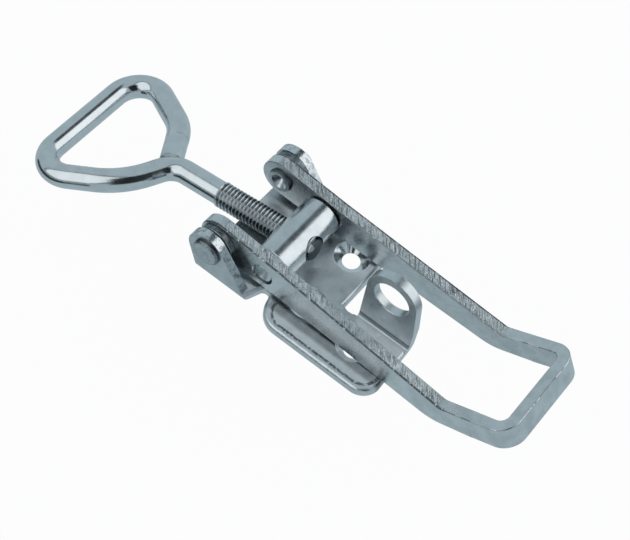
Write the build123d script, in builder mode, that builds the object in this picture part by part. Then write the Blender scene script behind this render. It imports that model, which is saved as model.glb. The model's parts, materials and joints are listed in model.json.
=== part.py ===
from build123d import *
import math
import os

os.makedirs("parts", exist_ok=True)

# Frame: x = 0 on the lever's pivot, +X toward the grip, Z up, z = 0 on the mounting plane.
# Left is the -Y side and right is the +Y side, as seen from the grip.

# Running clearances.
GAP_SEAT = 0.01
GAP_TURN = 0.05
GAP_FACE = 0.10
GAP_REST = 0.18

# Base plate, one stamping of 2.8 mm sheet.
SHEET = 2.8
EAR_OUTER = 20.9
EAR_INNER = EAR_OUTER - SHEET
EAR_TOP = (-0.6, 11.25)
EAR_RADIUS = 6.1
FRONT_X = -3.2
EAR_REAR_X = 14.1
EAR_FOOT_Z = 2.2
EAR_BEND_OUTER = 1.9
EDGE_ROLL = 1.1
NOTCH_FRONT_X = 16.4
NOTCH_REAR_X = 18.9
NOTCH_Y = EAR_INNER - 3.3
NOTCH_R = 1.6
WING_FRONT_X = 20.85
WING_Y = EAR_OUTER + 2.6
RIGHT_WING_Y = EAR_OUTER + 2.0
REAR_X = 60.15
WING_CORNER_FRONT = 7.6
WING_CORNER_REAR = 5.8
FLOOR_CUT_X = 36.9
FLOOR_CUT_CORNER = 2.3

# Padlock tab, bent up from the floor.
TAB_FRONT_X = 41.75
TAB_REAR_X = REAR_X - 1.0
TAB_LEAN_Z = 11.2
TAB_TOP_R = 8.2
TAB_TOP_Z = 28.1
TAB_BEND_INNER = 0.95
TAB_FOOT_Y = -4.55
TAB_LEFT_FACE_Y = TAB_FOOT_Y + TAB_BEND_INNER
TAB_RIGHT_FACE_Y = TAB_LEFT_FACE_Y + SHEET
TAB_HOLE_D = 11.5
TAB_HOLE_Z = 19.35
TAB_RIM_R = 0.4
SLOT_PAST_FOOT = 0.5
SLOT_R = 2.0

# Lever, a strap bent to a U, which leaves room for a washer between each arm and its ear.
SIDE_ROOM = 2.4
STRAP = 3.7
ARM_OUTER = EAR_INNER - SIDE_ROOM
ARM_INNER = ARM_OUTER - STRAP
SPLAY_X = 20.5
SPLAY_Y = 1.2
KINK_TOP = (77.45, 10.3)
KINK_BOTTOM = (76.15, 2.3)
KINK_TOP_R = 3.7
KINK_BOTTOM_R = 14.9
TIP_TOP = (97.55, 21.3)
GRIP_HEIGHT = 7.15
GRIP_INNER_R = 2.4
ARM_END_R = 6.6
ARM_EDGE_R = 0.3

# Countersunk holes for M5 screws: x and y of each.
SCREW_CLEAR_D = 5.5
SCREW_RIM_D = 10.8
FRONT_SCREW_X = 28.8
FRONT_SCREW_Y = ARM_INNER - 1.6
REAR_SCREW = (46.9, -12.55)
SCREW_HOLES = [(FRONT_SCREW_X, FRONT_SCREW_Y), (FRONT_SCREW_X, -FRONT_SCREW_Y), REAR_SCREW]

# Pivot rivets.
PIVOT_Z = 11.45
RIVET_D = 6.5
RIVET_HEAD_D = 8.8
RIVET_HEAD_H = 1.2
RIVET_TAIL_D = 8.0
RIVET_TAIL_H = 0.85
RIVET_CUP_D = 5.2
RIVET_CUP_DEPTH = 2.0

# Washers between ear and arm.
WASHER_D = 11.7
WASHER_T = SIDE_ROOM - 0.55

# Trunnion barrel between the arms, clear of the floor.
BARREL_D = 12.6
BARREL_LIFT = 0.8
BARREL_X = 15.6
BARREL_Z = SHEET + BARREL_LIFT + BARREL_D / 2
BARREL_LEFT_END = ARM_INNER - 0.25
BARREL_RIGHT_END = ARM_INNER - 0.6
JOURNAL_D = 6.5
JOURNAL_END = ARM_OUTER - 0.4
JOURNAL_CHAMFER = 0.5

# Eye bolt: a rolled M8 thread on one end of a bent rod.
# The eye's sizes are reach from the barrel's centre, along the rod, and offset to each side.
THREAD_D = 7.9
ROD_D = 7.25
THREAD_START = -(BARREL_D / 2 + 0.2)
THREAD_END = 27.3
EYE_BEND_X = 45.5
EYE_HINGE = 46.5
EYE_SHOULDER_LEFT = (53.7, 14.8)
EYE_SHOULDER_RIGHT = (54.6, 13.0)
EYE_BAR_X = 80.7
EYE_LEFT_CORNER_Y = 27.4
EYE_RIGHT_CORNER_Y = 27.9
EYE_BENDS = [7.6, 26.9, 8.4, 8.4, 15.5]
EYE_END = (51.9, 8.1)
EYE_BUTT = 9.0
EYE_BEND_DOWN = 4.1
EYE_ROLL = 2.5
EYE_TURN = -1.5
EYE_SHIFT = 0.43

PIVOT = (0.0, PIVOT_Z)


# Point where a line from a fixed point touches a circle; side is 1 above the line to its centre.
def tangent(point, centre, radius, side):
    dx = point[0] - centre[0]
    dz = point[1] - centre[1]
    lean = math.atan2(dz, dx) - side * math.asin(radius / math.hypot(dx, dz))
    return (
        centre[0] - side * radius * math.sin(lean),
        centre[1] + side * radius * math.cos(lean),
    )


# The ear's outline in side view: round top, straight sloping edges.
def ear_profile():
    rear_foot = (EAR_REAR_X - 0.45, EAR_FOOT_Z)
    front_foot = (FRONT_X, 0)
    with BuildSketch(Plane.XZ) as outline:
        with Locations(EAR_TOP):
            Circle(EAR_RADIUS)
        with BuildLine():
            Polyline(
                front_foot,
                (EAR_REAR_X, 0),
                rear_foot,
                tangent(rear_foot, EAR_TOP, EAR_RADIUS, 1),
                EAR_TOP,
                tangent(front_foot, EAR_TOP, EAR_RADIUS, -1),
                close=True,
            )
        make_face()
    return outline.sketch


# Base plate: floor, two ears, wings, padlock tab and countersunk holes in one stamping.
with BuildPart() as base_plate:
    # Floor between the ears and the wings behind them, as one outline.
    with BuildSketch(Plane.XY) as floor_outline:
        with BuildLine():
            Polyline(
                (FRONT_X, -EAR_OUTER),
                (EAR_REAR_X, -EAR_OUTER),
                (NOTCH_FRONT_X, -NOTCH_Y),
                (NOTCH_REAR_X, -NOTCH_Y),
                (WING_FRONT_X, -WING_Y),
                (REAR_X, -WING_Y),
                (TAB_REAR_X, TAB_FOOT_Y),
                (FLOOR_CUT_X, TAB_FOOT_Y),
                (FLOOR_CUT_X, RIGHT_WING_Y),
                (WING_FRONT_X, RIGHT_WING_Y),
                (NOTCH_REAR_X, NOTCH_Y),
                (NOTCH_FRONT_X, NOTCH_Y),
                (EAR_REAR_X, EAR_OUTER),
                (FRONT_X, EAR_OUTER),
                close=True,
            )
        make_face()
        for x, low, high, radius in (
            (WING_FRONT_X, EAR_OUTER, WING_Y + 1, WING_CORNER_FRONT),
            (REAR_X, EAR_OUTER, WING_Y + 1, WING_CORNER_REAR),
            (FLOOR_CUT_X, EAR_OUTER, WING_Y + 1, FLOOR_CUT_CORNER),
            (NOTCH_FRONT_X, 0, EAR_INNER, NOTCH_R),
            (NOTCH_REAR_X, 0, EAR_INNER, NOTCH_R),
        ):
            corners = floor_outline.vertices()
            fillet([v for v in corners if abs(v.X - x) < 0.01 and low < abs(v.Y) < high], radius)
    extrude(amount=SHEET)
    # The punch has rolled the wings' top edges.
    rims = base_plate.faces().sort_by(Axis.Z)[-1].edges()
    fillet([e for e in rims if abs(e.center().Y) > EAR_OUTER + 1], EDGE_ROLL)
    # Slot that frees the tab's front edge from the floor.
    with BuildSketch(Plane.XY) as slot_outline:
        with Locations(((FLOOR_CUT_X + TAB_FRONT_X) / 2, TAB_FOOT_Y - SLOT_PAST_FOOT)):
            Rectangle(TAB_FRONT_X - FLOOR_CUT_X, 2 * EAR_OUTER, align=(Align.CENTER, Align.MIN))
        fillet([v for v in slot_outline.vertices() if v.Y < TAB_FOOT_Y], SLOT_R)
    extrude(amount=SHEET, mode=Mode.SUBTRACT)
    # Ears folded straight up along both sides of the floor.
    for side in (-1, 1):
        with BuildSketch(Plane.XZ.offset(-side * EAR_INNER if side > 0 else EAR_OUTER)):
            add(ear_profile())
        extrude(amount=-SHEET)
    # Round the two folds.
    folds = [
        e
        for e in base_plate.edges().filter_by(Axis.X)
        if abs(abs(e.center().Y) - EAR_OUTER) < 0.05 and abs(e.center().Z) < 0.05
    ]
    fillet(folds, EAR_BEND_OUTER)
    # Padlock tab: the bent strip's section, trimmed to the tab's side outline.
    tab_bend_top = SHEET + TAB_BEND_INNER
    tab_top = (TAB_FRONT_X + TAB_TOP_R, TAB_TOP_Z - TAB_TOP_R)
    tab_lean = (TAB_REAR_X, TAB_LEAN_Z)
    with BuildPart() as tab:
        with BuildSketch(Plane.YZ.offset(TAB_FRONT_X)):
            with BuildLine():
                Line((TAB_FOOT_Y - 0.5, 0), (TAB_FOOT_Y, 0))
                RadiusArc((TAB_FOOT_Y, 0), (TAB_RIGHT_FACE_Y, tab_bend_top), -tab_bend_top)
                Line((TAB_RIGHT_FACE_Y, tab_bend_top), (TAB_RIGHT_FACE_Y, TAB_TOP_Z))
                Line((TAB_RIGHT_FACE_Y, TAB_TOP_Z), (TAB_LEFT_FACE_Y, TAB_TOP_Z))
                Line((TAB_LEFT_FACE_Y, TAB_TOP_Z), (TAB_LEFT_FACE_Y, tab_bend_top))
                RadiusArc((TAB_LEFT_FACE_Y, tab_bend_top), (TAB_FOOT_Y, SHEET), TAB_BEND_INNER)
                Line((TAB_FOOT_Y, SHEET), (TAB_FOOT_Y - 0.5, SHEET))
                Line((TAB_FOOT_Y - 0.5, SHEET), (TAB_FOOT_Y - 0.5, 0))
            make_face()
        extrude(amount=TAB_REAR_X - TAB_FRONT_X)
        with BuildSketch(Plane.XZ.offset(EAR_OUTER)):
            with BuildLine():
                Polyline(
                    (TAB_FRONT_X, 0),
                    (TAB_REAR_X, 0),
                    tab_lean,
                    tangent(tab_lean, tab_top, TAB_TOP_R, 1),
                    tab_top,
                    (TAB_FRONT_X, tab_top[1]),
                    close=True,
                )
            make_face()
            with Locations(tab_top):
                Circle(TAB_TOP_R)
            with Locations((tab_top[0], TAB_HOLE_Z)):
                Circle(TAB_HOLE_D / 2, mode=Mode.SUBTRACT)
        extrude(amount=-2 * EAR_OUTER, mode=Mode.INTERSECT)
        hole_rims = [
            e
            for e in tab.edges().filter_by(GeomType.CIRCLE)
            if abs(e.radius - TAB_HOLE_D / 2) < 0.01
        ]
        fillet(hole_rims, TAB_RIM_R)
    # Rivet seats in the ears.
    with BuildSketch(Plane.XZ.offset(2 * EAR_OUTER)):
        with Locations(PIVOT):
            Circle(RIVET_D / 2 + GAP_SEAT)
    extrude(amount=-4 * EAR_OUTER, mode=Mode.SUBTRACT)
    # Countersunk screw holes.
    with Locations([(x, y, SHEET) for x, y in SCREW_HOLES]):
        CounterSinkHole(SCREW_CLEAR_D / 2, SCREW_RIM_D / 2, depth=SHEET, counter_sink_angle=90)
base_plate.part.label = "base_plate"
export_step(base_plate.part, "parts/base_plate.step")


# Lever: two tapered arms, a raised grip and its end bar, all one bent strap.
grip_angle = math.atan2(TIP_TOP[1] - KINK_TOP[1], TIP_TOP[0] - KINK_TOP[0])
grip_along = (math.cos(grip_angle), math.sin(grip_angle))
grip_up = (-math.sin(grip_angle), math.cos(grip_angle))
grip_length = math.hypot(TIP_TOP[1] - KINK_TOP[1], TIP_TOP[0] - KINK_TOP[0])
tip_bottom = (TIP_TOP[0] - grip_up[0] * GRIP_HEIGHT, TIP_TOP[1] - grip_up[1] * GRIP_HEIGHT)
splay_rate = SPLAY_Y / (KINK_TOP[0] - SPLAY_X)
joint_reach = grip_length / 2.5
blank = 2 * TIP_TOP[0]
arm_top_touch = tangent(KINK_TOP, PIVOT, ARM_END_R, 1)
arm_bottom_touch = tangent(KINK_BOTTOM, PIVOT, ARM_END_R, -1)
joint_top = (KINK_TOP[0] + grip_along[0] * joint_reach, KINK_TOP[1] + grip_along[1] * joint_reach)
joint_bottom = (joint_top[0] - grip_up[0] * GRIP_HEIGHT, joint_top[1] - grip_up[1] * GRIP_HEIGHT)


# Half width of the lever's outer face at a place along it.
def outer_at(x):
    return ARM_OUTER + max(0.0, x - SPLAY_X) * splay_rate


with BuildPart() as lever:
    # Side outline of the arms up to the first part of the grip.
    with BuildSketch(Plane.XZ.offset(blank / 2)) as arm_side:
        with BuildLine():
            Polyline(
                arm_top_touch,
                KINK_TOP,
                joint_top,
                joint_bottom,
                KINK_BOTTOM,
                arm_bottom_touch,
                PIVOT,
                close=True,
            )
        make_face()
        top_kink = [v for v in arm_side.vertices() if abs(v.X - KINK_TOP[0]) < 0.01]
        fillet(top_kink, KINK_TOP_R)
        low_kink = [v for v in arm_side.vertices() if abs(v.X - KINK_BOTTOM[0]) < 0.01]
        fillet(low_kink, KINK_BOTTOM_R)
        with Locations(PIVOT):
            Circle(ARM_END_R)
    extrude(amount=-blank)
    # Only the two bands that are strap stay of it.
    with BuildPart(mode=Mode.INTERSECT):
        for side in (-1, 1):
            with BuildSketch(Plane.XY.offset(-blank / 2)):
                with BuildLine():
                    Polyline(
                        (-2 * ARM_END_R, side * ARM_OUTER),
                        (SPLAY_X, side * ARM_OUTER),
                        (blank, side * outer_at(blank)),
                        (blank, side * (outer_at(blank) - STRAP)),
                        (SPLAY_X, side * ARM_INNER),
                        (-2 * ARM_END_R, side * ARM_INNER),
                        close=True,
                    )
                make_face()
            extrude(amount=blank)
    # Long edges of the sheared strap, broken before the grip joins on.
    arm_edges = [
        e
        for e in lever.edges()
        if e.length > STRAP + 1 and e.center().X < KINK_TOP[0] + joint_reach * 0.7
    ]
    fillet(arm_edges, ARM_EDGE_R)
    # Grip: the U drawn in its own plane and given the strap's height.
    grip_plane = Plane(
        origin=(KINK_TOP[0], 0, KINK_TOP[1]),
        x_dir=(grip_along[0], 0, grip_along[1]),
        z_dir=(grip_up[0], 0, grip_up[1]),
    )
    grip_start = joint_reach - 0.5
    half_start = outer_at(KINK_TOP[0] + grip_start * grip_along[0])
    half_end = outer_at(TIP_TOP[0])
    half_slope = (half_end - half_start) / (grip_length - grip_start)
    with BuildPart() as grip:
        with BuildSketch(grip_plane) as grip_u:
            with BuildLine():
                Polyline(
                    (grip_start, -half_start),
                    (grip_length, -half_end),
                    (grip_length, half_end),
                    (grip_start, half_start),
                    close=True,
                )
            make_face()
            fillet([v for v in grip_u.vertices() if v.X > grip_start + 1], GRIP_INNER_R + STRAP)
            with BuildSketch(mode=Mode.SUBTRACT) as grip_void:
                with BuildLine():
                    Polyline(
                        (grip_start - 1, -half_start + STRAP + half_slope),
                        (grip_length - STRAP, -half_end + STRAP),
                        (grip_length - STRAP, half_end - STRAP),
                        (grip_start - 1, half_start - STRAP - half_slope),
                        close=True,
                    )
                make_face()
                fillet([v for v in grip_void.vertices() if v.X > grip_start + 1], GRIP_INNER_R)
        extrude(amount=-GRIP_HEIGHT)
        grip_faces = grip.faces().filter_by(lambda f: abs(f.normal_at().dot(grip_plane.z_dir)) > 0.9)
        fillet([e for e in grip_faces.edges() if e.length > STRAP + 1], ARM_EDGE_R)
    # Pivot holes and journal holes through both arms.
    with BuildSketch(Plane.XZ.offset(blank / 2)):
        with Locations(PIVOT):
            Circle(RIVET_D / 2 + GAP_TURN)
        with Locations((BARREL_X, BARREL_Z)):
            Circle(JOURNAL_D / 2 + GAP_TURN)
    extrude(amount=-blank, mode=Mode.SUBTRACT)
    # Broken edges at the journal holes' outer ends.
    hole_rims = [
        e
        for e in lever.edges().filter_by(GeomType.CIRCLE)
        if abs(e.arc_center.X - BARREL_X) < 0.01 and abs(abs(e.arc_center.Y) - ARM_OUTER) < 0.01
    ]
    chamfer(hole_rims, ARM_EDGE_R)
lever.part.label = "lever"
export_step(lever.part, "parts/lever.step")


# Half section of a pivot rivet: low outer head, shank, and a flared inner end with a cone in it.
tail_face = ARM_INNER - GAP_FACE - RIVET_TAIL_H
rivet_section = [
    (0, EAR_OUTER + RIVET_HEAD_H),
    (RIVET_HEAD_D / 2 - 0.5, EAR_OUTER + RIVET_HEAD_H),
    (RIVET_HEAD_D / 2, EAR_OUTER + RIVET_HEAD_H - 0.5),
    (RIVET_HEAD_D / 2, EAR_OUTER),
    (RIVET_D / 2, EAR_OUTER),
    (RIVET_D / 2, ARM_INNER - GAP_FACE),
    (RIVET_TAIL_D / 2, ARM_INNER - GAP_FACE),
    (RIVET_TAIL_D / 2 - 0.3, tail_face),
    (RIVET_CUP_D / 2, tail_face),
    (0, tail_face + RIVET_CUP_DEPTH),
]
pivot_plane = Plane(origin=(0, 0, PIVOT_Z))
pivot_axis = Axis((0, 0, PIVOT_Z), (0, 1, 0))

# Rivet through the left ear, the left washer and the left arm.
with BuildPart() as pivot_rivet_left:
    with BuildSketch(pivot_plane):
        with BuildLine():
            Polyline(*[(x, -y) for x, y in rivet_section], close=True)
        make_face()
    revolve(axis=pivot_axis)
pivot_rivet_left.part.label = "pivot_rivet_left"
export_step(pivot_rivet_left.part, "parts/pivot_rivet_left.step")

# Rivet through the right ear, the right washer and the right arm.
with BuildPart() as pivot_rivet_right:
    with BuildSketch(pivot_plane):
        with BuildLine():
            Polyline(*rivet_section, close=True)
        make_face()
    revolve(axis=pivot_axis)
pivot_rivet_right.part.label = "pivot_rivet_right"
export_step(pivot_rivet_right.part, "parts/pivot_rivet_right.step")


# Left washer, resting on the arm.
with BuildPart() as pivot_washer_left:
    with BuildSketch(Plane.XZ.offset(ARM_OUTER + GAP_FACE)):
        with Locations(PIVOT):
            Circle(WASHER_D / 2)
            Circle(RIVET_D / 2 + GAP_TURN, mode=Mode.SUBTRACT)
    extrude(amount=WASHER_T)
    fillet(pivot_washer_left.edges().filter_by(GeomType.CIRCLE).group_by(SortBy.RADIUS)[-1], 0.25)
pivot_washer_left.part.label = "pivot_washer_left"
export_step(pivot_washer_left.part, "parts/pivot_washer_left.step")

# Right washer, resting on the ear.
with BuildPart() as pivot_washer_right:
    with BuildSketch(Plane.XZ.offset(-EAR_INNER + GAP_TURN)):
        with Locations(PIVOT):
            Circle(WASHER_D / 2)
            Circle(RIVET_D / 2 + GAP_TURN, mode=Mode.SUBTRACT)
    extrude(amount=WASHER_T)
    fillet(pivot_washer_right.edges().filter_by(GeomType.CIRCLE).group_by(SortBy.RADIUS)[-1], 0.25)
pivot_washer_right.part.label = "pivot_washer_right"
export_step(pivot_washer_right.part, "parts/pivot_washer_right.step")


# Direction of the bolt, from the barrel toward the eye: it lies on the floor's front edge.
edge_reach = BARREL_X - FRONT_X
edge_drop = BARREL_Z - SHEET
droop = math.atan2(edge_drop, edge_reach)
droop -= math.asin((THREAD_D / 2 + GAP_REST) / math.hypot(edge_reach, edge_drop))
bolt_dir = Vector(-math.cos(droop), 0, -math.sin(droop))
barrel_centre = Vector(BARREL_X, 0, BARREL_Z)

# Trunnion barrel: a thick pin across the arms with thinner journals and a threaded cross hole.
with BuildPart() as trunnion_barrel:
    with BuildSketch(Plane(origin=barrel_centre)):
        with BuildLine():
            Polyline(
                (0, -JOURNAL_END),
                (JOURNAL_D / 2 - JOURNAL_CHAMFER, -JOURNAL_END),
                (JOURNAL_D / 2, -JOURNAL_END + JOURNAL_CHAMFER),
                (JOURNAL_D / 2, -BARREL_LEFT_END),
                (BARREL_D / 2 - 0.4, -BARREL_LEFT_END),
                (BARREL_D / 2, -BARREL_LEFT_END + 0.4),
                (BARREL_D / 2, BARREL_RIGHT_END - 0.4),
                (BARREL_D / 2 - 0.4, BARREL_RIGHT_END),
                (JOURNAL_D / 2, BARREL_RIGHT_END),
                (JOURNAL_D / 2, JOURNAL_END - JOURNAL_CHAMFER),
                (JOURNAL_D / 2 - JOURNAL_CHAMFER, JOURNAL_END),
                (0, JOURNAL_END),
                close=True,
            )
        make_face()
    revolve(axis=Axis(barrel_centre, (0, 1, 0)))
    with BuildSketch(Plane(origin=barrel_centre, z_dir=bolt_dir)):
        Circle(THREAD_D / 2 + GAP_TURN)
    extrude(amount=BARREL_D, both=True, mode=Mode.SUBTRACT)
trunnion_barrel.part.label = "trunnion_barrel"
export_step(trunnion_barrel.part, "parts/trunnion_barrel.step")


# A point of the eye's loop: reach along the rod and sideways offset, in the loop's own plane.
def loop_point(reach, aside):
    local_x = reach - EYE_HINGE
    turn = math.radians(EYE_TURN)
    along = local_x * math.cos(turn) - aside * math.sin(turn)
    across = local_x * math.sin(turn) + aside * math.cos(turn) + EYE_SHIFT
    down = droop + math.radians(EYE_BEND_DOWN)
    loop_dir = Vector(-math.cos(down), 0, -math.sin(down))
    up = loop_dir.cross(Vector(0, 1, 0))
    roll = math.radians(EYE_ROLL)
    sideways = Vector(0, 1, 0) * math.cos(roll) + up * math.sin(roll)
    hinge_point = barrel_centre + bolt_dir * EYE_HINGE
    return hinge_point + loop_dir * along + sideways * across


# Corners of the rod's path and the bend radius at each: shank, narrow end, sides and far bar.
rod_start = barrel_centre + bolt_dir * (THREAD_END - 1)
rod_corners = [
    rod_start,
    barrel_centre + bolt_dir * EYE_BEND_X,
    loop_point(EYE_SHOULDER_LEFT[0], -EYE_SHOULDER_LEFT[1]),
    loop_point(EYE_BAR_X, -EYE_LEFT_CORNER_Y),
    loop_point(EYE_BAR_X, EYE_RIGHT_CORNER_Y),
    loop_point(EYE_SHOULDER_RIGHT[0], EYE_SHOULDER_RIGHT[1]),
    loop_point(EYE_END[0], EYE_END[1]),
]
rod_end = rod_corners[-1]
butt_dir = (rod_end - rod_corners[-2]).normalized()

# Eye bolt: straight threaded end, plain shank, and the rod's other end bent round to a closed eye.
with BuildPart() as eye_bolt:
    with BuildLine() as rod_path:
        last_point = rod_corners[0]
        for i in range(1, len(rod_corners) - 1):
            corner = rod_corners[i]
            radius = EYE_BENDS[i - 1]
            back = (rod_corners[i - 1] - corner).normalized()
            ahead = (rod_corners[i + 1] - corner).normalized()
            half = math.radians(back.get_angle(ahead) / 2)
            cut = radius / math.tan(half)
            reach = radius / math.sin(half) - radius
            Line(last_point, corner + back * cut)
            ThreePointArc(
                corner + back * cut,
                corner + (back + ahead).normalized() * reach,
                corner + ahead * cut,
            )
            last_point = corner + ahead * cut
        Line(last_point, rod_end)
    with BuildSketch(Plane(origin=rod_start, x_dir=(0, 1, 0), z_dir=bolt_dir)):
        Circle(ROD_D / 2)
    sweep(path=rod_path.wires()[0])
    # The rod's free end, butted against the shank's bend.
    with BuildSketch(Plane(origin=rod_end - butt_dir * 0.6, z_dir=butt_dir)):
        Circle(ROD_D / 2 - 0.05)
    extrude(amount=EYE_BUTT + 0.6)
    # Threaded end, at the thread's outer diameter.
    thread_tip = barrel_centre + bolt_dir * THREAD_START
    with BuildSketch(Plane(origin=thread_tip, x_dir=(0, 1, 0), z_dir=bolt_dir)):
        Circle(THREAD_D / 2)
    extrude(amount=THREAD_END - THREAD_START)
    rims = eye_bolt.edges().filter_by(GeomType.CIRCLE)
    chamfer(rims.sort_by(Axis.X)[-1], 0.7)
eye_bolt.part.label = "eye_bolt"
export_step(eye_bolt.part, "parts/eye_bolt.step")

for piece in (
    base_plate,
    lever,
    pivot_rivet_left,
    pivot_rivet_right,
    pivot_washer_left,
    pivot_washer_right,
    trunnion_barrel,
    eye_bolt,
):
    solid_count = len(piece.part.solids())
    print(piece.part.label, solid_count, piece.part.is_valid, piece.part.bounding_box())
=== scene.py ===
import json
import math

import bmesh
import bpy
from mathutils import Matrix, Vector


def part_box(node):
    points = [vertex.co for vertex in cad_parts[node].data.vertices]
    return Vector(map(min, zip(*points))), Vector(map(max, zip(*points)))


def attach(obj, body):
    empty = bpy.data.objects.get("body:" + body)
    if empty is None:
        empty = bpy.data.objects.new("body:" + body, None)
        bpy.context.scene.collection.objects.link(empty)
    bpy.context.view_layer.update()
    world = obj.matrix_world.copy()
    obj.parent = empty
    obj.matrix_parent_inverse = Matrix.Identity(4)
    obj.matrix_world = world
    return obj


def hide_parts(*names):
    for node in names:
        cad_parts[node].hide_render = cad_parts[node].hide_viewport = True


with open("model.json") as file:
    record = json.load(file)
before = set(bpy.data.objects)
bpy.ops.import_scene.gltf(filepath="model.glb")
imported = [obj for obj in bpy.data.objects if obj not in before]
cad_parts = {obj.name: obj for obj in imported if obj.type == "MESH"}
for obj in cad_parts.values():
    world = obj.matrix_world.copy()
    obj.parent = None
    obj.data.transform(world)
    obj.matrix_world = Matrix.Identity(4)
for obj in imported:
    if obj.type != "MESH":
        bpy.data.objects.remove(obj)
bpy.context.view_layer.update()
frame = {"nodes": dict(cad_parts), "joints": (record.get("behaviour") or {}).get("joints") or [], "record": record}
nodes = frame["nodes"]


# Base plate: one stamping of thick sheet, folded up at both sides and at the padlock tab.
# It is bright zinc plated, with a soft mottle, fine handling scratches, and painted shade and
# highlights along its folds and rim, and it is screwed down through three countersunk holes.
class Wire:
    """A node's output that takes part in sums like a number."""

    def __init__(self, socket):
        self.socket = socket

    @classmethod
    def node(cls, tree, kind, settings=(), inputs=(), out=0):
        """Adds a node with its settings and inputs, and gives back one of its outputs."""
        made = tree.nodes.new(kind)
        for name, value in dict(settings).items():
            setattr(made, name, value)
        for key, value in dict(inputs).items():
            if isinstance(value, Wire):
                tree.links.new(value.socket, made.inputs[key])
            else:
                made.inputs[key].default_value = value
        return cls(made.outputs[out]) if len(made.outputs) else None

    def maths(self, operation, *others):
        values = dict(enumerate((self, *others)))
        return Wire.node(self.socket.id_data, "ShaderNodeMath", {"operation": operation}, values)

    def vectors(self, operation, *others, out="Vector"):
        values = dict(enumerate((self, *others)))
        settings = {"operation": operation}
        return Wire.node(self.socket.id_data, "ShaderNodeVectorMath", settings, values, out)

    def __add__(self, other):
        return self.maths("ADD", other)

    __radd__ = __add__

    def __mul__(self, other):
        return self.maths("MULTIPLY", other)

    __rmul__ = __mul__

    def __sub__(self, other):
        return self.maths("SUBTRACT", other)

    def __rsub__(self, other):
        return self.maths("MULTIPLY_ADD", -1.0, other)

    def __truediv__(self, other):
        return self.maths("DIVIDE", other)

    def __abs__(self):
        return self.maths("ABSOLUTE")

    def hypot(self, other):
        """The long side of a right triangle that has these two short sides."""
        return (self * self + other * other).maths("SQRT")

    def above(self, edge, soft, low=0.0, high=1.0):
        """Goes smoothly from low to high over the soft width on either side of the edge."""
        settings = {"interpolation_type": "SMOOTHSTEP"}
        inputs = {"Value": self, "From Min": edge - soft, "From Max": edge + soft}
        inputs.update({"To Min": low, "To Max": high})
        return Wire.node(self.socket.id_data, "ShaderNodeMapRange", settings, inputs)

    def below(self, edge, soft):
        """1 below the edge and 0 above it."""
        return self.above(edge, soft, 1.0, 0.0)

    def near(self, middle, half, soft):
        """1 in a band that reaches half to either side of the middle, and 0 outside."""
        return abs(self - middle).below(half, soft)


def bare_tree(owner):
    """An empty node tree for a material or a world."""
    owner.use_nodes = True
    owner.node_tree.nodes.clear()
    return owner.node_tree


ZINC_LIGHT = (0.70, 0.735, 0.75, 1)
ZINC_DARK = (0.12, 0.14, 0.15, 1)
BUMP_DEPTH = 0.00004


class Zinc:
    """Bright zinc plating on one piece, with the mottle and handling marks that every piece has."""

    def __init__(self, piece):
        self.material = bpy.data.materials.new(piece + "_zinc")
        self.tree = bare_tree(self.material)
        self.place = Wire.node(self.tree, "ShaderNodeTexCoord", out="Object")
        facing = Wire.node(self.tree, "ShaderNodeTexCoord", out="Normal")
        self.x, self.y, self.z = self.split(self.place)
        self.face_x, self.face_y, self.face_z = self.split(facing)
        self.mottle = self.noise(280, 4.0, 0.55).above(0.49, 0.19)
        self.scratch = self.noise(950, 2.0, 0.6, self.stretched((1, 7, 7))).above(0.65, 0.09)
        self.specks = self.noise(2800, 1.0, 0.5).above(0.5, 0.2)

    def split(self, vector):
        """The three parts of a vector."""
        return [Wire.node(self.tree, "ShaderNodeSeparateXYZ", inputs={0: vector}, out=part) for part in "XYZ"]

    def stretched(self, scale):
        return Wire.node(self.tree, "ShaderNodeMapping", inputs={"Vector": self.place, "Scale": scale})

    def noise(self, scale, detail, rough, vector=None):
        inputs = {"Vector": vector or self.place, "Scale": scale, "Detail": detail, "Roughness": rough}
        return Wire.node(self.tree, "ShaderNodeTexNoise", inputs=inputs)

    def coat(self, node, light, rough, height):
        """Plates a piece. Light mixes its colour from ZINC_DARK at 0 to ZINC_LIGHT at 1, and carries mottle, wear
        and painted shade and highlights.
        """
        shades = {"Factor": light, 6: ZINC_DARK, 7: ZINC_LIGHT}
        colour = Wire.node(self.tree, "ShaderNodeMix", {"data_type": "RGBA"}, shades, out=2)
        relief = {"Strength": 1.0, "Distance": BUMP_DEPTH, "Height": height}
        bump = Wire.node(self.tree, "ShaderNodeBump", inputs=relief)
        looks = {"Base Color": colour, "Metallic": 1.0, "Roughness": rough, "Normal": bump}
        shader = Wire.node(self.tree, "ShaderNodeBsdfPrincipled", inputs=looks)
        Wire.node(self.tree, "ShaderNodeOutputMaterial", inputs={"Surface": shader})
        node.data.materials.clear()
        node.data.materials.append(self.material)


SHEET = 0.0028
plate = Zinc("base_plate")

# The countersinks are cut smooth and shine more than the sheet round them.
CONE_R = 0.00545
mounts = {mount["name"]: mount for mount in frame["record"]["mounts"]}
front_x = mounts["front_screws"]["pos_m"][0]
front_aside = mounts["front_screws"]["dims"]["spacing_y_mm"] / 2000
rear_x, rear_y, _ = mounts["rear_screw"]["pos_m"]
cone = 0.0
for screw_x, screw_y in ((front_x, front_aside), (front_x, -front_aside), (rear_x, rear_y)):
    cone = cone + (plate.x - screw_x).hypot(plate.y - screw_y).below(CONE_R, 0.00015)
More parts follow.
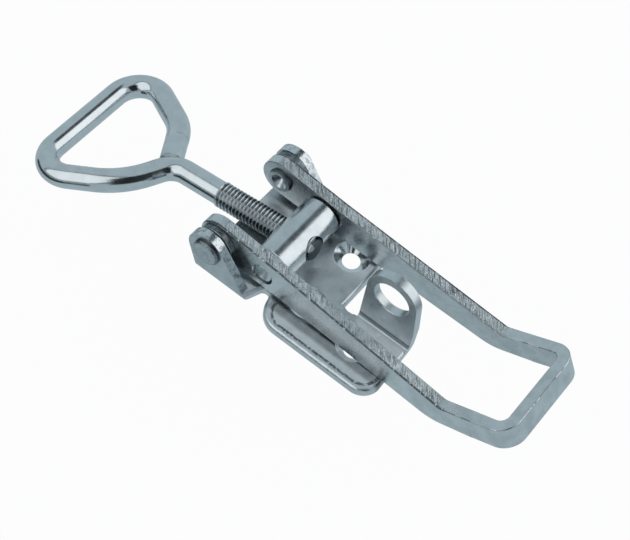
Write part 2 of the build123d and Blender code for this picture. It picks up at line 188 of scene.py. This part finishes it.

# The left wing has a line of painted shade inside its rim, sunk a little by bump and broken in places.
WING_FRONT = 0.0205
WING_CORNER = 0.0066
WING_INSIDE = -0.0163
CREASE_INSET = 0.0020
plate_low, plate_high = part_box("base_plate")
wing_middle = (plate_high.x + WING_FRONT) / 2
wing_half = (plate_high.x - WING_FRONT) / 2
past_end = (abs(plate.x - wing_middle) - (wing_half - WING_CORNER)).maths("MAXIMUM", 0.0)
past_side = (plate_low.y + WING_CORNER - plate.y).maths("MAXIMUM", 0.0)
wander = 0.0005 * plate.noise(420, 2.0, 0.6)
to_rim = WING_CORNER - past_end.hypot(past_side) + wander
on_wing = plate.y.below(WING_INSIDE, 0.0003) * plate.face_z.above(0.94, 0.04)
rim_line_gaps = plate.noise(1100, 2.0, 0.5).above(0.43, 0.07)
rim_line_shade = to_rim.near(CREASE_INSET, 0.00041, 0.00011) * on_wing * rim_line_gaps

# The wing has painted shade beside the arm, and the tab's bend has a painted highlight line
# and a painted shade line at its foot.
BAND_OUTSIDE = -0.0188
BAND_INSIDE = -0.0154
TAB_FRONT = 0.04175
TAB_FOOT = -0.0045
under_arm_shade = (plate.y + wander).above(BAND_OUTSIDE, 0.0008) * plate.y.below(BAND_INSIDE, 0.0004)
under_arm_shade = under_arm_shade * plate.x.above(WING_FRONT, 0.001) * plate.z.below(SHEET + 0.00045, 0.00025)
tab_foot = plate.x.above(TAB_FRONT, 0.00025) * plate.y.near(TAB_FOOT, 0.0015, 0.0001)
bend_highlight = tab_foot * plate.z.near(SHEET + 0.0005, 0.000475, 0.000125)
bend_shade = tab_foot * plate.z.near(SHEET + 0.0015, 0.00035, 0.00015)

# The ears have painted shade a little darker than the floor, and their edges carry a painted highlight
# broken by blotches, and are smoother.
EAR_REAR = 0.0140
EAR_SIDE = 0.0170
ears = plate.x.below(EAR_REAR, 0.001) * abs(plate.y).above(EAR_SIDE, 0.0005)
ear_edge_highlight = ears * abs(plate.face_y).below(0.45, 0.15) * plate.z.above(SHEET + 0.0012, 0.0005)
blotch = plate.noise(900, 3.0, 0.65).above(0.55, 0.05)

# The plate's light adds the painted shade and highlights above to its mottle, scratches and countersinks.
plate_tone_and_painted_light = 0.84 + 0.2 * plate.mottle - 0.14 * plate.scratch + 0.2 * cone - 0.85 * rim_line_shade
plate_tone_and_painted_light = plate_tone_and_painted_light - 0.6 * under_arm_shade + 0.35 * bend_highlight - 0.6 * bend_shade
plate_tone_and_painted_light = plate_tone_and_painted_light - 0.24 * ears + (0.3 - 0.45 * blotch) * ear_edge_highlight
plate_rough = (0.27 + 0.07 * plate.mottle + 0.12 * plate.scratch) * (1.0 - 0.55 * cone - 0.6 * ear_edge_highlight)
plate_height = 0.3 * plate.mottle + 0.18 * plate.specks + 0.3 * plate.scratch
plate_height = plate_height * (1.0 - cone) - 1.2 * rim_line_shade
plate.coat(nodes["base_plate"], plate_tone_and_painted_light, plate_rough, plate_height)


# Lever: one strap of thick flat bar, bent to a U with a raised grip, and plated after bending.
# The sheared edges of its arms keep the ragged cross grain of the cut up to the kink,
# while the grip's edges are dressed smooth.
ARM_OUTSIDE = 0.0157
ARM_INSIDE = 0.0120
ARM_END = 0.07825
SPLAY_START = 0.0205
SPLAY = 0.0211
GRIP_TILT = math.radians(28.7)
strap = Zinc("lever")
arms = strap.x.below(ARM_END, 0.00175)
left_arm = strap.y.below(0.0, 0.001)
right_arm = 1.0 - left_arm

# The grain runs across the cut edge at a slant, in broken ticks that are deeper on the right arm.
slanted = {0: strap.x + 0.78 * strap.y, 1: 0.12 * strap.y, 2: 0.3 * strap.z}
slant = Wire.node(strap.tree, "ShaderNodeCombineXYZ", inputs=slanted)
broken = strap.noise(700, 3.0, 0.6).above(0.425, 0.125)
ticks = strap.noise(2300, 2.0, 0.6, slant).above(0.51, 0.09) * (0.3 + 0.7 * broken)
cut_edge = strap.face_z.above(0.955, 0.025) * arms * (1.0 - 0.75 * left_arm)

# A broken line of painted shade follows the corners of the cut, as far out as the arms splay.
across = abs(strap.y) - SPLAY * (strap.x - SPLAY_START).maths("MAXIMUM", 0.0)
across = across + 0.0003 * strap.noise(1300, 2.0, 0.6) - 0.00015
outer_shade_line = across.above(ARM_OUTSIDE - 0.00055, 0.00015)
inner_shade_line = 0.5 * across.below(ARM_INSIDE + 0.0003, 0.0001) * right_arm
edge_line_gaps = strap.noise(800, 3.0, 0.7).above(0.42, 0.06)
edge_shade_line = (outer_shade_line + inner_shade_line) * arms * edge_line_gaps * strap.face_z.above(0.225, 0.125)

# The grip has only short dashes of painted shade along its corners.
grip_top = math.cos(GRIP_TILT) * strap.face_z - math.sin(GRIP_TILT) * strap.face_x
grip_corner = grip_top.below(0.935, 0.035) * grip_top.above(0.165, 0.085) * (1.0 - arms)
corner_shade_dashes = grip_corner * strap.noise(230, 2.0, 0.6).above(0.525, 0.025)
# The right arm's inner face has a little painted shade.
right_inside_shade = strap.face_y.below(-0.875, 0.075) * right_arm

# The strap's light adds the painted shade lines, dashes and inner face to its mottle, scratches and grain.
strap_tone_and_painted_light = 0.8 + 0.2 * strap.mottle - 0.12 * strap.scratch - 1.1 * edge_shade_line - 0.6 * corner_shade_dashes
strap_tone_and_painted_light = strap_tone_and_painted_light - (0.36 - 0.66 * ticks) * cut_edge - 0.14 * right_inside_shade
strap_rough = 0.23 + 0.07 * strap.mottle + 0.12 * strap.scratch
strap_height = 0.25 * strap.mottle + 0.05 * strap.specks + 0.2 * strap.scratch
strap_height = strap_height + 5.0 * cut_edge * ticks - 1.0 * edge_shade_line
strap.coat(nodes["lever"], strap_tone_and_painted_light, strap_rough, strap_height)


# Pivot rivets and washers: two short steel rivets hold the arms in the ears, each through a
# washer between ear and arm. They are duller than the sheet, with painted shade round their sides
# and each rivet head's rim, and only the cup in each rivet's formed inner end is polished by the punch.
HEAD_RIM = 0.0041
CUP_R = 0.0026
CUP_SIDE = 0.0145
joints = {joint["name"]: joint for joint in frame["joints"]}
pivot_x, _, pivot_z = joints["lever_pivot"]["pos_m"]
for name in ("pivot_rivet_left", "pivot_rivet_right", "pivot_washer_left", "pivot_washer_right"):
    small = Zinc(name)
    from_axis = (small.x - pivot_x).hypot(small.z - pivot_z)
    side = abs(small.face_y).below(0.55, 0.15)
    # Painted shade darkens the sides, and each rivet head's rim as well.
    if "rivet" in name:
        painted_side_shade = side + from_axis.near(HEAD_RIM, 0.000325, 0.000125)
    else:
        painted_side_shade = 1.2 * side
    cup = from_axis.below(CUP_R, 0.0001) * abs(small.y).below(CUP_SIDE, 0.0005)
    patches = small.noise(1500, 3.0, 0.6).above(0.51, 0.09)
    small_tone_and_painted_shade = 0.38 + 0.2 * (small.mottle + patches) - 0.1 * small.scratch - 0.42 * painted_side_shade + 0.5 * cup
    small_rough = 0.25 + 0.1 * (small.mottle + small.scratch) - 0.12 * cup
    small.coat(nodes[name], small_tone_and_painted_shade, small_rough, 0.6 * small.mottle + 0.2 * small.specks)


# Trunnion barrel: a turned steel pin across the arms, with thinner journals in their holes and
# a threaded cross hole for the bolt. It is bright and smooth, with fine turning rings.
barrel = Zinc("barrel")
rings = barrel.noise(1400, 1.0, 0.5, barrel.stretched((0.02, 1, 0.02)))
barrel_light = 0.84 + 0.14 * barrel.mottle - 0.08 * barrel.scratch
barrel_rough = 0.14 + 0.05 * barrel.mottle + 0.08 * barrel.scratch
barrel_height = 0.3 * barrel.mottle + 0.25 * (rings + barrel.specks)
barrel.coat(nodes["trunnion_barrel"], barrel_light, barrel_rough, barrel_height)


# Eye bolt: drawn rod bent to a closed eye, with a rolled M8 thread of 1.25 mm pitch on its
# straight end, chamfered at the tip. The rod is the brightest piece, and the thread's roots
# have painted shade up to their flanks.
PITCH = 0.00125
CREST_R = 0.00393
ROOT_R = 0.00322
FLANK_R = 0.00371
COLLAR_R = 0.00372
TIP_R = 0.00324
THREAD_END = 0.0273
RUN_OUT = 0.0003
OVERLAP = 0.0001
MERGE = 1e-6
STEPS_A_TURN = 40
SHARP_ANGLE = math.radians(32)
cad_bolt = nodes["eye_bolt"]
bolt_from = Vector(joints["bolt_turn"]["pos_m"])
bolt_axis = Vector(joints["bolt_turn"]["axis"]).normalized()
bolt_side = bolt_axis.cross(Vector((0, 1, 0))).normalized()


def on_bolt(point):
    """How far a point lies along the bolt, and its way out from the axis."""
    reach = (point - bolt_from).dot(bolt_axis)
    return reach, point - bolt_from - bolt_axis * reach


def cut(mesh, reach, keep_beyond):
    """Cuts a mesh square across the bolt, drops one side and closes the hole."""
    found = bmesh.ops.bisect_plane(
        mesh,
        geom=mesh.verts[:] + mesh.edges[:] + mesh.faces[:],
        dist=1e-7,
        plane_co=bolt_from + bolt_axis * reach,
        plane_no=bolt_axis if keep_beyond else -bolt_axis,
        clear_inner=True,
    )
    edges = [item for item in found["geom_cut"] if isinstance(item, bmesh.types.BMEdge)]
    filled = bmesh.ops.edgeloop_fill(mesh, edges=edges)
    bmesh.ops.triangulate(mesh, faces=filled["faces"])


# The thread is one pitch of its profile wound along the bolt, then cut to length. Its tip is
# chamfered, and its last turn runs out to the collar.
thread_tip = min(on_bolt(vert.co)[0] for vert in cad_bolt.data.vertices)
first = thread_tip - PITCH
turns = math.ceil((THREAD_END - first) / PITCH) + 1
profile = [
    (0.0, ROOT_R),
    (0.125, ROOT_R),
    (0.44, CREST_R),
    (0.56, CREST_R),
    (0.875, ROOT_R),
    (1.0, ROOT_R),
]
winding = bmesh.new()
points = [bolt_from + bolt_axis * (first + PITCH * share) + bolt_side * away for share, away in profile]
line = [winding.verts.new(point) for point in points]
for start, end in zip(line, line[1:]):
    winding.edges.new((start, end))
bmesh.ops.spin(
    winding,
    geom=winding.verts[:] + winding.edges[:],
    cent=bolt_from,
    axis=bolt_axis,
    dvec=bolt_axis * PITCH / STEPS_A_TURN,
    angle=2 * math.pi * turns,
    steps=turns * STEPS_A_TURN,
)
bmesh.ops.remove_doubles(winding, verts=winding.verts, dist=MERGE)
cut(winding, thread_tip, True)
cut(winding, THREAD_END, False)
for vert in winding.verts:
    reach, away = on_bolt(vert.co)
    if away.length > ROOT_R / 2:
        chamfer = TIP_R + reach - thread_tip
        run_out = COLLAR_R - max(0.0, THREAD_END - reach - RUN_OUT)
        vert.co += away.normalized() * max(run_out, min(chamfer, away.length)) - away


def place_key(point):
    """A vertex's place in whole micrometres, by which it is found again."""
    return tuple(round(value * 1e6) for value in point)


# The rod is the solid's own eye and shank from the end of the thread on, and keeps the
# smooth directions of the solid's faces.
cad_normals = {}
for loop, corner_normal in zip(cad_bolt.data.loops, cad_bolt.data.corner_normals):
    at = place_key(cad_bolt.data.vertices[loop.vertex_index].co)
    cad_normals.setdefault(at, []).append(corner_normal.vector.copy())
bent = bmesh.new()
bent.from_mesh(cad_bolt.data)
bmesh.ops.remove_doubles(bent, verts=bent.verts, dist=MERGE)
cut(bent, THREAD_END - OVERLAP, True)
threaded_rod = bpy.data.meshes.new("threaded_eye_bolt")
winding.to_mesh(threaded_rod)
winding.free()
bent.from_mesh(threaded_rod)
bmesh.ops.recalc_face_normals(bent, faces=bent.faces)
bent.to_mesh(threaded_rod)
bent.free()
threaded_rod.shade_smooth()
threaded_rod.set_sharp_from_angle(angle=SHARP_ANGLE)
directions = [corner_normal.vector.copy() for corner_normal in threaded_rod.corner_normals]
for polygon in threaded_rod.polygons:
    for index in polygon.loop_indices:
        at = place_key(threaded_rod.vertices[threaded_rod.loops[index].vertex_index].co)
        if at in cad_normals:
            directions[index] = max(cad_normals[at], key=polygon.normal.dot)
threaded_rod.normals_split_custom_set(directions)


def in_scene(name, data):
    """A new object in the scene."""
    made = bpy.data.objects.new(name, data)
    bpy.context.scene.collection.objects.link(made)
    return made


eye_bolt = in_scene("threaded_eye_bolt", threaded_rod)
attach(eye_bolt, "bolt")
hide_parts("eye_bolt")

# Along one line on top, 38 degrees over to the left side, the thread has a painted reflection:
# the painted root shade is lifted there, and the crests are a little darker and rougher.
REFLECTION_BAND_TURN = math.radians(38.3)
rod = Zinc("eye_bolt")
from_start = rod.place.vectors("SUBTRACT", bolt_from)
radius = from_start.vectors("CROSS_PRODUCT", bolt_axis).vectors("LENGTH", out="Value")
reach = from_start.vectors("DOT_PRODUCT", bolt_axis, out="Value")
threaded = reach.below(THREAD_END + 0.00005, 0.00005)
reflection_band_way = bolt_side * -math.cos(REFLECTION_BAND_TURN) - Vector((0, 1, 0)) * math.sin(REFLECTION_BAND_TURN)
reflection_band_side = from_start.vectors("DOT_PRODUCT", reflection_band_way, out="Value") / radius.maths("MAXIMUM", 0.001)
reflection_band = reflection_band_side.above(0.925, 0.025) * threaded
# The thread's roots are painted dark as painted shade, less so along the painted reflection band.
root_shade = threaded * radius.below(FLANK_R, 0.00019) * (1.0 - 0.95 * reflection_band)
end_face = reach.below(thread_tip + 0.000015, 0.000005)
# The rod's light adds the painted root shade, the painted reflection band and a painted lighter end face to its
# mottle and scratches.
rod_tone_and_painted_light = 0.88 + 0.12 * rod.mottle - 0.06 * rod.scratch - 0.95 * root_shade - 0.12 * reflection_band + 0.1 * end_face
rod_rough = 0.13 + 0.04 * rod.mottle + 0.06 * rod.scratch + 0.1 * threaded + 0.15 * reflection_band + 0.5 * end_face
rod_height = (0.12 + 0.4 * threaded) * rod.mottle + 0.05 * rod.specks
rod.coat(eye_bolt, rod_tone_and_painted_light, rod_rough, rod_height)


# Studio floor: a wide sheet of plain white paper, low enough to clear the eye when the bolt is
# turned over. Polished steel sees through it to the room.
FLOOR_HALF = 3.0
FLOOR_CLEARANCE = 0.001
PAPER_GLOW = 0.96
lowest = 0.0
for vert in cad_bolt.data.vertices:
    reach, away = on_bolt(vert.co)
    lowest = min(lowest, (bolt_from + bolt_axis * reach).z - away.length)
floor_mesh = bpy.data.meshes.new("studio_floor")
sheet = bmesh.new()
bmesh.ops.create_grid(sheet, x_segments=1, y_segments=1, size=FLOOR_HALF)
bmesh.ops.translate(sheet, verts=sheet.verts, vec=(0, 0, lowest - FLOOR_CLEARANCE))
sheet.to_mesh(floor_mesh)
sheet.free()
floor = in_scene("studio_floor", floor_mesh)
paper = bpy.data.materials.new("floor_paper")
tree = bare_tree(paper)
seen = Wire.node(tree, "ShaderNodeLightPath", out="Is Camera Ray")
glossy = Wire.node(tree, "ShaderNodeLightPath", out="Is Glossy Ray")
matt = Wire.node(tree, "ShaderNodeBsdfDiffuse", inputs={"Color": (0.9, 0.9, 0.9, 1)})
glow = Wire.node(tree, "ShaderNodeEmission", inputs={"Color": (1, 1, 1, 1), "Strength": 1.0})
clear = Wire.node(tree, "ShaderNodeBsdfTransparent")
lit = Wire.node(tree, "ShaderNodeMixShader", inputs={0: seen * PAPER_GLOW, 1: matt, 2: glow})
mixed = Wire.node(tree, "ShaderNodeMixShader", inputs={0: glossy, 1: lit, 2: clear})
Wire.node(tree, "ShaderNodeOutputMaterial", inputs={"Surface": mixed})
floor.data.materials.append(paper)


# Studio room: pale all round, with a wide soft box on each side, a dark place round the camera,
# a dark ridge over the far box and a dark line at the table's near edge. The plated steel
# shows these, and the background stays white.
WALL_TINT = (0.79, 0.96, 1.04)
LAMP_TINT = (1.06, 1.0, 0.97)
world = bpy.data.worlds.new("studio_room")
bpy.context.scene.world = world
tree = bare_tree(world)
look = Wire.node(tree, "ShaderNodeTexCoord", out="Generated")


def panel(azimuth, elevation, half_wide, half_high, soft):
    """1 inside a rectangle that is seen in that direction, 0 outside. Its angles are degrees."""
    turn, rise = math.radians(azimuth), math.radians(elevation)
    ahead = Vector((math.cos(rise) * math.cos(turn), math.cos(rise) * math.sin(turn), math.sin(rise)))
    right = Vector((-math.sin(turn), math.cos(turn), 0))
    front = look.vectors("DOT_PRODUCT", ahead, out="Value")
    inside = front.above(0.06, 0.02)
    for aside, half in ((right, half_wide), (right.cross(ahead), half_high)):
        slope = look.vectors("DOT_PRODUCT", aside, out="Value") / front.maths("MAXIMUM", 0.05)
        inside = inside * abs(slope).below(math.tan(math.radians(half)), soft)
    return inside


left_box = panel(-112, 41, 32, 32, 0.05)
left_edge = panel(-112, 41, 37, 37, 0.04) * (1.0 - left_box)
right_box = panel(46, 30, 26, 30, 0.08)
camera_gap = panel(-43, 42, 22, 30, 0.08)
ridge = panel(93, 59, 13, 8, 0.06)
horizon = panel(-125, -15, 46, 12, 0.05)
walls = 0.55
for dark, share in ((camera_gap, 0.95), (ridge, 0.9), (horizon, 0.92), (left_edge, 0.8)):
    walls = walls * (1.0 - share * dark)
lamps = 0.52 * left_box * (1.0 - camera_gap) + 0.66 * right_box * (1.0 - ridge)
seen = Wire.node(tree, "ShaderNodeLightPath", out="Is Camera Ray")
unseen = 1.0 - seen
tints = [(walls * wall + lamps * lamp) * unseen + seen for wall, lamp in zip(WALL_TINT, LAMP_TINT)]
colour = Wire.node(tree, "ShaderNodeCombineXYZ", inputs=dict(enumerate(tints)))
sky = Wire.node(tree, "ShaderNodeBackground", inputs={"Color": colour, "Strength": 1.0})
Wire.node(tree, "ShaderNodeOutputWorld", inputs={"Surface": sky})


# Camera: above the grip on the left side, looking down along the latch with a long lens.
# The picture keeps the colours as they are lit.
camera_data = bpy.data.cameras.new("camera")
camera_data.sensor_width = 36.0
camera_data.lens = 88.315
camera_data.clip_start = 0.01
camera = in_scene("camera", camera_data)
camera.location = (0.133806, -0.210620, 0.373882)
camera.rotation_euler = (0.5584173, -0.1141850, 0.6634637)
bpy.context.scene.camera = camera
bpy.context.scene.view_settings.view_transform = "Standard"
